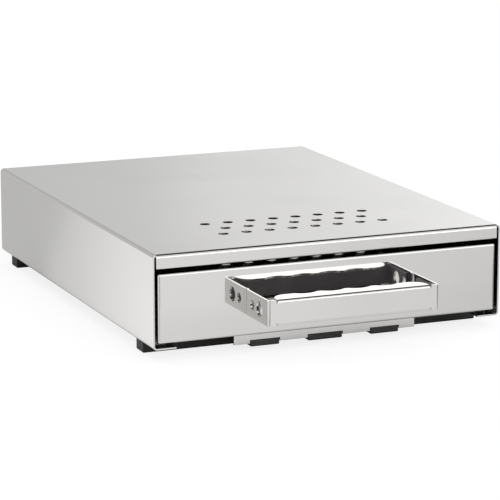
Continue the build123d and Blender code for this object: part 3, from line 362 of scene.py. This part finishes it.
def moulded_skin(name):
    """The fine skin of moulded rubber or plastic, with a faint bloom."""
    group, start, end = new_group(
        name,
        [("Grain Scale", "NodeSocketFloat", 2500.0), ("Bloom Scale", "NodeSocketFloat", 40.0)],
        [("Grain", "NodeSocketFloat"), ("Bloom", "NodeSocketFloat")],
    )
    place = object_place(group)
    grain = add(group, "ShaderNodeTexVoronoi", feature="SMOOTH_F1")
    fill(group, grain, Vector=place, Scale=start.outputs["Grain Scale"])
    bloom = noise(group, Vector=place, Scale=start.outputs["Bloom Scale"], Detail=5.0)
    bloomed = map_value(group, bloom, *BLOOM_RANGE, 0.0, 1.0)
    fill(group, end, Grain=grain.outputs["Distance"], Bloom=bloomed)
    return group


def place_group(tree, name, maker, **values):
    """The outputs of a shared effect, which is built the first time that it is wanted."""
    group = bpy.data.node_groups.get(name) or maker(name)
    return fill(tree, add(tree, "ShaderNodeGroup", node_tree=group), **values).outputs


def new_material(name, metallic):
    """A material with nodes, its tree and its shader."""
    material = bpy.data.materials.new(name)
    material.use_nodes = True
    tree = material.node_tree
    return material, tree, fill(tree, tree.nodes["Principled BSDF"], Metallic=metallic)


def opaque(colour, share=1.0):
    """A colour, or a darker share of it, with full alpha."""
    return (*(share * part for part in colour), 1.0)


def raise_grain(tree, shader, depth, height, normal):
    """Give a shader fine relief on top of its softened edges."""
    bump = add(tree, "ShaderNodeBump")
    fill(tree, bump, Strength=depth, Distance=RELIEF, Height=height, Normal=normal)
    fill(tree, shader, Normal=bump.outputs["Normal"])


def inner_side(node, bend, skin):
    """The box that a folded sheet's bends turn about, and how far from it the inner side reaches."""
    low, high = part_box(node)
    middle = Vector((bend, bend, bend))
    return {"Low_Corner": low + middle, "High_Corner": high - middle, "Reach": bend - skin}


def steel_material(name, colour, smooth, hazy, stretch, depth, patch, mill=None, mill_rough=0.0):
    """Steel with rolled grain, handling haze and rougher cut edges, and if wanted a darker inner side,
    which is partly a duller mill finish and partly painted shade.
    """
    material, tree, shader = new_material(name, 1.0)
    streak = place_group(tree, "Rolled grain", rolled_grain, Stretch=stretch)["Streak"]
    haze = place_group(tree, "Handling haze", handling_haze, Patch_Scale=patch)["Haze"]
    rim = place_group(tree, "Cut edge", cut_edge, Width=STEEL_EDGE)
    tint = mix(tree, "RGBA", haze, opaque(colour), opaque(colour, HAZE_TONE))
    streaked = map_value(tree, streak, *STREAK_RANGE, smooth, (smooth + hazy) / 2)
    hazed = product(tree, haze, (hazy - smooth) / 2)
    rough = total(tree, streaked, hazed, product(tree, rim["Edge"], EDGE_ROUGHNESS))
    if mill:
        # Inner side: rougher for its mill finish, and darker in colour, partly mill finish and partly
        # painted shade in gaps, vent walls and hollows.
        dull_and_shade = place_group(tree, "Mill side", mill_side, **mill)["Dull"]
        tint = mix(tree, "RGBA", dull_and_shade, tint, opaque(colour, MILL_AND_SHADE_TONE))
        rough = total(tree, rough, product(tree, dull_and_shade, mill_rough))
    fill(tree, shader, Base_Color=tint, Roughness=rough)
    raise_grain(tree, shader, depth, streak, rim["Normal"])
    return material


def moulded_material(name, colour, bloomed, smooth, rough, grain_scale, depth):
    """Rubber or plastic with a fine moulded skin and a faint bloom."""
    material, tree, shader = new_material(name, 0.0)
    skin = place_group(tree, "Moulded skin", moulded_skin, Grain_Scale=grain_scale)
    rim = place_group(tree, "Cut edge", cut_edge, Width=MOULDED_EDGE)
    tint = mix(tree, "RGBA", skin["Bloom"], opaque(colour), opaque(bloomed))
    fill(tree, shader, Base_Color=tint, Roughness=map_value(tree, skin["Grain"], 0.0, 1.0, smooth, rough))
    raise_grain(tree, shader, depth, skin["Grain"], rim["Normal"])
    return material


def dress(names, material):
    """Give each named node this material."""
    for name in names:
        for slot in NODES[name].material_slots:
            slot.material = material


class KnockDrawerFinish(bpy.types.PropertyGroup):
    """Colours of the steel, rubber and plastic"""

    polished: FloatVectorProperty(
        name="Polished steel",
        description="Colour of the casing, drawer front, handle and balls",
        subtype="COLOR",
        default=(0.69, 0.682, 0.668),
        min=0.0,
        max=1.0,
    )
    satin: FloatVectorProperty(
        name="Satin steel",
        description="Colour of the tray, rear panel, stiffeners, knock bar, ball cages and fasteners",
        subtype="COLOR",
        default=(0.5, 0.5, 0.49),
        min=0.0,
        max=1.0,
    )
    zinc: FloatVectorProperty(
        name="Zinc plate",
        description="Colour of the runners",
        subtype="COLOR",
        default=(0.4, 0.42, 0.45),
        min=0.0,
        max=1.0,
    )
    rubber: FloatVectorProperty(
        name="Rubber",
        description="Colour of the foot bars, pads and knock bar sleeve",
        subtype="COLOR",
        default=(0.018, 0.017, 0.016),
        min=0.0,
        max=1.0,
    )
    liner: FloatVectorProperty(
        name="Handle liner",
        description="Colour of the liner inside the handle",
        subtype="COLOR",
        default=(0.155, 0.147, 0.157),
        min=0.0,
        max=1.0,
    )


class KnockDrawerStage(bpy.types.PropertyGroup):
    """The floor's size, the lamp's power and the camera"""

    floor_reach: FloatProperty(
        name="Floor reach",
        description="Half the width of the floor",
        subtype="DISTANCE",
        unit="LENGTH",
        default=6.0,
        min=1.0,
    )
    lens: FloatProperty(
        name="Lens",
        description="Focal length of the camera, in millimetres",
        subtype="DISTANCE_CAMERA",
        default=185.3,
        min=10.0,
    )
    camera_place: FloatVectorProperty(
        name="Camera place",
        description="Where the camera stands",
        subtype="TRANSLATION",
        unit="LENGTH",
        default=(-0.8236, -1.9741, 0.5151),
    )
    camera_aim: FloatVectorProperty(
        name="Camera aim",
        description="The direction that the camera looks in",
        subtype="DIRECTION",
        default=(0.3771, 0.9007, -0.2158),
    )
    softbox_power: FloatProperty(
        name="Softbox power",
        description="Power of the large lamp behind and above the camera",
        subtype="POWER",
        unit="POWER",
        default=36.0,
        min=0.0,
    )


class KNOCKDRAWER_OT_casing(bpy.types.Operator):
    """Finish the casing, its rear panel and the stiffeners under its top"""

    bl_idname = "knockdrawer.casing"
    bl_label = "Casing"

    def execute(self, context):
        finish = context.scene.knockdrawer_finish
        polished = steel_material(
            "casing steel",
            finish.polished,
            smooth=0.1,
            hazy=0.2,
            stretch=(900, 14, 900),
            depth=0.012,
            patch=7.0,
            # The casing's inner side is darker, partly mill finish and partly painted shade inside it and
            # in its vent walls.
            mill=inner_side("casing_shell", bend=0.003, skin=0.0004),
            mill_rough=0.06,
        )
        satin = steel_material(
            "panel steel",
            finish.satin,
            smooth=0.22,
            hazy=0.38,
            stretch=(16, 1400, 1400),
            depth=0.06,
            patch=12.0,
        )
        dress(CASING, polished)
        dress(INNER_SHEETS, satin)
        return {"FINISHED"}


class KNOCKDRAWER_OT_front(bpy.types.Operator):
    """Finish the drawer front, its support bracket, the handle and its liner"""

    bl_idname = "knockdrawer.front"
    bl_label = "Front and handle"

    def execute(self, context):
        finish = context.scene.knockdrawer_finish
        front = steel_material(
            "front steel",
            finish.polished,
            smooth=0.035,
            hazy=0.08,
            stretch=(12, 1100, 1100),
            depth=0.006,
            patch=9.0,
            # The drawer front's inner side is darker, partly mill finish and partly painted shade in the
            # gaps round it.
            mill=inner_side("drawer_front", bend=0.002, skin=0.0008),
            mill_rough=0.3,
        )
        handle = steel_material(
            "handle steel",
            finish.polished,
            smooth=0.05,
            hazy=0.12,
            stretch=(14, 1300, 1300),
            depth=0.008,
            patch=22.0,
        )
        liner = moulded_material(
            "liner plastic",
            finish.liner,
            bloomed=(0.18, 0.172, 0.18),
            smooth=0.42,
            rough=0.6,
            grain_scale=1800.0,
            depth=0.25,
        )
        dress(FRONT, front)
        dress(HANDLE, handle)
        dress(LINER, liner)
        return {"FINISHED"}


class KNOCKDRAWER_OT_tray(bpy.types.Operator):
    """Finish the tray, the knock bar and its brackets"""

    bl_idname = "knockdrawer.tray"
    bl_label = "Tray and knock bar"

    def execute(self, context):
        finish = context.scene.knockdrawer_finish
        satin = steel_material(
            "tray steel",
            finish.satin,
            smooth=0.2,
            hazy=0.36,
            stretch=(1300, 16, 1300),
            depth=0.05,
            patch=12.0,
        )
        turned = steel_material(
            "bar steel",
            finish.satin,
            smooth=0.16,
            hazy=0.3,
            stretch=(1500, 60, 1500),
            depth=0.06,
            patch=30.0,
        )
        rubber = moulded_material(
            "sleeve rubber",
            finish.rubber,
            bloomed=(0.03, 0.029, 0.028),
            smooth=0.5,
            rough=0.72,
            grain_scale=1500.0,
            depth=0.3,
        )
        dress(TRAY, satin)
        dress(BAR_STEEL, turned)
        dress(SLEEVE, rubber)
        return {"FINISHED"}


class KNOCKDRAWER_OT_runners(bpy.types.Operator):
    """Finish the rails, their brackets, the ball cages and the balls"""

    bl_idname = "knockdrawer.runners"
    bl_label = "Runners"

    def execute(self, context):
        finish = context.scene.knockdrawer_finish
        rails = steel_material(
            "rail zinc",
            finish.zinc,
            smooth=0.28,
            hazy=0.42,
            stretch=(1200, 30, 1200),
            depth=0.05,
            patch=60.0,
        )
        cages = steel_material(
            "cage steel",
            finish.satin,
            smooth=0.24,
            hazy=0.4,
            stretch=(1600, 80, 1600),
            depth=0.06,
            patch=80.0,
        )
        balls = steel_material(
            "ball steel",
            finish.polished,
            smooth=0.04,
            hazy=0.1,
            stretch=(400, 400, 400),
            depth=0.01,
            patch=300.0,
        )
        dress(RUNNERS, rails)
        dress(CAGES, cages)
        dress(BALLS, balls)
        return {"FINISHED"}


class KNOCKDRAWER_OT_fasteners(bpy.types.Operator):
    """Finish the screws, nuts, washers and rivets"""

    bl_idname = "knockdrawer.fasteners"
    bl_label = "Fasteners"

    def execute(self, context):
        steel = steel_material(
            "fastener steel",
            context.scene.knockdrawer_finish.satin,
            smooth=0.18,
            hazy=0.34,
            stretch=(900, 900, 900),
            depth=0.05,
            patch=160.0,
        )
        dress(FASTENERS, steel)
        return {"FINISHED"}


class KNOCKDRAWER_OT_rubber(bpy.types.Operator):
    """Finish the foot bars, the rear bumpers and the pads under the front"""

    bl_idname = "knockdrawer.rubber"
    bl_label = "Foot bars and pads"

    def execute(self, context):
        finish = context.scene.knockdrawer_finish
        feet = moulded_material(
            "foot rubber",
            finish.rubber,
            bloomed=(0.032, 0.028, 0.026),
            smooth=0.5,
            rough=0.7,
            grain_scale=1200.0,
            depth=0.35,
        )
        pads = moulded_material(
            "pad rubber",
            finish.rubber,
            bloomed=(0.034, 0.034, 0.034),
            smooth=0.5,
            rough=0.74,
            grain_scale=1500.0,
            depth=0.3,
        )
        dress(FEET, feet)
        dress(PADS, pads)
        return {"FINISHED"}


def studio_world():
    """White to the camera, plain soft light on the object, and a studio round it in reflections."""
    world = bpy.data.worlds.new("studio")
    world.use_nodes = True
    tree = world.node_tree
    tree.nodes.clear()
    across, back, up = axes(tree, add(tree, "ShaderNodeTexCoord").outputs["Generated"])
    slope = map_value(tree, across, *WALL_SLOPE, kind="LINEAR")
    lit = total(tree, slope, *(map_value(tree, across, *light) for light in WALL_LIGHTS))
    walls = math_node(tree, "SUBTRACT", lit, map_value(tree, across, *WALL_SHADE))
    ceiling = area(
        tree,
        (up, CEILING_FOOT),
        (back, CEILING_FRONT),
        (back, CEILING_REAR),
        (across, CEILING_LEFT),
        (across, CEILING_RIGHT),
    )
    room = product(tree, walls, math_node(tree, "SUBTRACT", 1.0, ceiling))
    front_wall = area(tree, (back, FRONT_WALL_START), (up, FRONT_WALL_FOOT))
    window = product(tree, front_wall, area(tree, (up, WINDOW_TOP), (across, WINDOW_LEFT)))
    studio = total(tree, mix(tree, "FLOAT", front_wall, room, FRONT_WALL_TONE), window)
    rays = add(tree, "ShaderNodeLightPath").outputs
    soft = mix(tree, "FLOAT", rays["Is Diffuse Ray"], studio, SOFT_TONE)
    seen = mix(tree, "FLOAT", rays["Is Camera Ray"], soft, BACKGROUND_TONE)
    light = fill(tree, add(tree, "ShaderNodeBackground"), Color=(1, 1, 1, 1), Strength=seen)
    fill(tree, add(tree, "ShaderNodeOutputWorld"), Surface=light.outputs[0])
    return world


def floor_axes(tree):
    """The X and Y of a point of the floor."""
    return axes(tree, add(tree, "ShaderNodeNewGeometry").outputs["Position"])[:2]


def corner_flag(tree, across, back, node, start):
    """A narrow dark strip of floor that leads forward from a node's left front corner."""
    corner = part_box(node)[0]
    along = math_node(tree, "SUBTRACT", corner.y, back)
    aside = math_node(tree, "SUBTRACT", across, corner.x)
    slanted = total(tree, aside, product(tree, along, FLAG_SLANT))
    turn = math_node(tree, "ABSOLUTE", math_node(tree, "DIVIDE", slanted, along))
    return area(tree, (turn, FLAG_SIDE), (along, (start, start + FLAG_FADE, 0.0, 1.0)))


def side_tone(tree, across, back):
    """The floor beside the object, as the casing's left side shows it."""
    behind = total(tree, product(tree, across, SIDE_SLANT), back)
    slope = map_value(tree, behind, *SIDE_SLOPE, kind="LINEAR")
    return total(tree, slope, map_value(tree, behind, *SIDE_STEP))


def front_tone(tree, across, back, ahead):
    """The floor before the object, as the drawer front and the handle show it."""
    facing = map_value(tree, ahead, *FRONT_SLOPE, kind="LINEAR")
    slanted = math_node(tree, "SUBTRACT", across, product(tree, back, STRIP_SLANT))
    strip = area(tree, (slanted, STRIP_LEFT), (slanted, STRIP_RIGHT), (across, STRIP_SHADE))
    near = map_value(tree, back, *FRONT_NEAR)
    return product(tree, facing, math_node(tree, "SUBTRACT", 1.0, strip), near)


def floor_glow(tree):
    """How brightly polished steel sees each part of the floor."""
    across, back = floor_axes(tree)
    ahead = total(tree, product(tree, back, FRONT_SLANT), across)
    share = map_value(tree, back, *FRONT_TO_SIDE)
    tone = mix(tree, "FLOAT", share, front_tone(tree, across, back, ahead), side_tone(tree, across, back))
    dark = area(tree, (back, PATCH_NEAR), (back, PATCH_FAR), (ahead, PATCH_LEFT))
    for node, start in FLAG_STARTS.items():
        dark = math_node(tree, "MAXIMUM", dark, corner_flag(tree, across, back, node, start))
    shade = fill(tree, add(tree, "ShaderNodeAmbientOcclusion", samples=6), Distance=SHADE_REACH)
    unshaded = map_value(tree, shade.outputs["AO"], *SHADE_SLOPE)
    return product(tree, tone, math_node(tree, "SUBTRACT", 1.0, dark), unshaded)


def under_casing(tree):
    """A mask of the floor well in under the casing, which shows only through its vents."""
    across, back = floor_axes(tree)
    low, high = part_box("casing_shell")
    left = [low.x + inset for inset in UNDER_SIDE]
    right = [high.x - inset for inset in UNDER_SIDE]
    front = [low.y + inset for inset in UNDER_FRONT]
    rear = [high.y - inset for inset in UNDER_REAR]
    sides = ((across, left), (across, right), (back, front), (back, rear))
    return area(tree, *((axis, (*ends, 0.0, 1.0)) for axis, ends in sides))


def floor_material():
    """A pale floor that is white to the camera and keeps the shadow."""
    material, tree, shader = new_material("pale floor", 0.0)
    tree.nodes.remove(shader)
    rays = add(tree, "ShaderNodeLightPath").outputs
    matte = fill(tree, add(tree, "ShaderNodeBsdfDiffuse"), Color=FLOOR_COLOUR).outputs[0]
    to_camera = map_value(tree, under_casing(tree), 0.0, 1.0, CAMERA_GLOW, 0.0)
    seen = fill(tree, add(tree, "ShaderNodeEmission"), Strength=to_camera).outputs[0]
    glow = fill(tree, add(tree, "ShaderNodeEmission"), Strength=floor_glow(tree)).outputs[0]
    reflected = mix_shaders(tree, STEEL_SHARE, matte, glow)
    polished = mix_shaders(tree, rays["Is Glossy Ray"], matte, reflected)
    looked_at = mix_shaders(tree, CAMERA_SHARE, matte, seen)
    whole = mix_shaders(tree, rays["Is Camera Ray"], polished, looked_at)
    fill(tree, tree.nodes["Material Output"], Surface=whole)
    return material


def stand(name, data, place, way):
    """Put a lamp or a camera in its place, looking along a direction."""
    holder = bpy.data.objects.new(name, data)
    holder.location = place
    holder.rotation_mode = "QUATERNION"
    holder.rotation_quaternion = way.to_track_quat("-Z", "Y")
    bpy.context.scene.collection.objects.link(holder)
    return holder


def softbox(power):
    """The large lamp behind and above the camera, left out of reflections."""
    lamp = bpy.data.lights.new("camera softbox", "AREA")
    lamp.shape = "RECTANGLE"
    lamp.size = SOFTBOX_WIDTH
    lamp.size_y = SOFTBOX_HEIGHT
    lamp.energy = power
    way = Vector(SOFTBOX_AIM) - Vector(SOFTBOX_PLACE)
    holder = stand("camera softbox", lamp, SOFTBOX_PLACE, way)
    holder.visible_glossy = False


class KNOCKDRAWER_OT_stage(bpy.types.Operator):
    """Set the floor, the studio, the lamp and the camera"""

    bl_idname = "knockdrawer.stage"
    bl_label = "Stage"

    def execute(self, context):
        stage = context.scene.knockdrawer_stage
        context.scene.view_settings.view_transform = "Standard"
        reach = stage.floor_reach
        sides = ((-reach, -reach), (reach, -reach), (reach, reach), (-reach, reach))
        mesh = bpy.data.meshes.new("floor")
        mesh.from_pydata([(*side, CAD_LOW.z) for side in sides], [], [(0, 1, 2, 3)])
        floor = bpy.data.objects.new("floor", mesh)
        floor.data.materials.append(floor_material())
        context.scene.collection.objects.link(floor)
        context.scene.world = studio_world()
        softbox(stage.softbox_power)
        camera = bpy.data.cameras.new("camera")
        camera.lens = stage.lens
        camera.sensor_width = SENSOR_WIDTH
        camera.clip_start = NEAREST_SEEN
        camera.clip_end = FURTHEST_SEEN
        holder = stand("camera", camera, stage.camera_place, Vector(stage.camera_aim))
        context.scene.camera = holder
        return {"FINISHED"}


OPERATORS = (
    KNOCKDRAWER_OT_casing,
    KNOCKDRAWER_OT_front,
    KNOCKDRAWER_OT_tray,
    KNOCKDRAWER_OT_runners,
    KNOCKDRAWER_OT_fasteners,
    KNOCKDRAWER_OT_rubber,
    KNOCKDRAWER_OT_stage,
)


class KNOCKDRAWER_PT_panel(bpy.types.Panel):
    bl_idname = "KNOCKDRAWER_PT_panel"
    bl_label = "Knock drawer"
    bl_space_type = "VIEW_3D"
    bl_region_type = "UI"
    bl_category = "Knock drawer"

    def draw(self, context):
        for group in (context.scene.knockdrawer_finish, context.scene.knockdrawer_stage):
            for name in group.bl_rna.properties.keys():
                if name not in {"rna_type", "name"}:
                    self.layout.prop(group, name)
        for operator in OPERATORS:
            self.layout.operator(operator.bl_idname)


CLASSES = (KnockDrawerFinish, KnockDrawerStage, *OPERATORS, KNOCKDRAWER_PT_panel)


def register():
    for item in CLASSES:
        bpy.utils.register_class(item)
    bpy.types.Scene.knockdrawer_finish = PointerProperty(type=KnockDrawerFinish)
    bpy.types.Scene.knockdrawer_stage = PointerProperty(type=KnockDrawerStage)


def unregister():
    del bpy.types.Scene.knockdrawer_stage
    del bpy.types.Scene.knockdrawer_finish
    for item in reversed(CLASSES):
        bpy.utils.unregister_class(item)


def main():
    register()
    bpy.ops.knockdrawer.casing()
    bpy.ops.knockdrawer.front()
    bpy.ops.knockdrawer.tray()
    bpy.ops.knockdrawer.runners()
    bpy.ops.knockdrawer.fasteners()
    bpy.ops.knockdrawer.rubber()
    bpy.ops.knockdrawer.stage()


if __name__ == "__main__":
    main()
